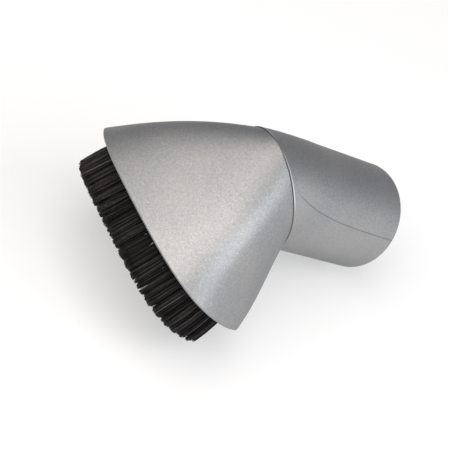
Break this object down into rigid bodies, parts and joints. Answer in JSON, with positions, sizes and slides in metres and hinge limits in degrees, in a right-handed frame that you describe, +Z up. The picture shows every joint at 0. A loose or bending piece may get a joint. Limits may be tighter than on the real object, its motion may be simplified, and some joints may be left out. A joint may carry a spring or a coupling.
{
  "type": "vacuum dusting brush",
  "caption": "Bent hollow hood with an oval mouth ringed by short bristle tufts and a round neck socket, for dusting surfaces with a vacuum cleaner's tube.",
  "frame": {"origin": "middle of the hose socket, where its straight wall begins", "axes": "+Z up as the brush rests on its lower bristle tips and the low edge of its neck; +Y from the mouth towards the socket; +X along the mouth's long side"},
  "size_m": [0.078, 0.1122, 0.061],
  "materials": {
    "hood_plastic": "satin silver-grey plastic with a fine metal-flake grain",
    "bristle": "black monofilament bristles",
    "anchor_wire": "plain flat steel wire"
  },
  "bodies": {
    "root": {"body": "hood_plastic", "tuft_01": "bristle", "tuft_02": "bristle", "tuft_03": "bristle", "tuft_04": "bristle", "tuft_05": "bristle", "tuft_06": "bristle", "tuft_07": "bristle", "tuft_08": "bristle", "tuft_09": "bristle", "tuft_10": "bristle", "tuft_11": "bristle", "tuft_12": "bristle", "tuft_13": "bristle", "tuft_14": "bristle", "tuft_15": "bristle", "tuft_16": "bristle", "tuft_17": "bristle", "tuft_18": "bristle", "tuft_19": "bristle", "tuft_20": "bristle", "tuft_21": "bristle", "tuft_22": "bristle", "tuft_23": "bristle", "tuft_24": "bristle", "tuft_25": "bristle", "tuft_26": "bristle", "tuft_27": "bristle", "tuft_28": "bristle", "tuft_29": "bristle", "tuft_30": "bristle", "tuft_31": "bristle", "tuft_32": "bristle", "tuft_33": "bristle", "tuft_34": "bristle", "tuft_35": "bristle", "tuft_36": "bristle", "tuft_37": "bristle", "tuft_38": "bristle", "tuft_39": "bristle", "tuft_40": "bristle", "tuft_41": "bristle", "tuft_42": "bristle", "tuft_anchors": "anchor_wire"}
  },
  "joints": []
}
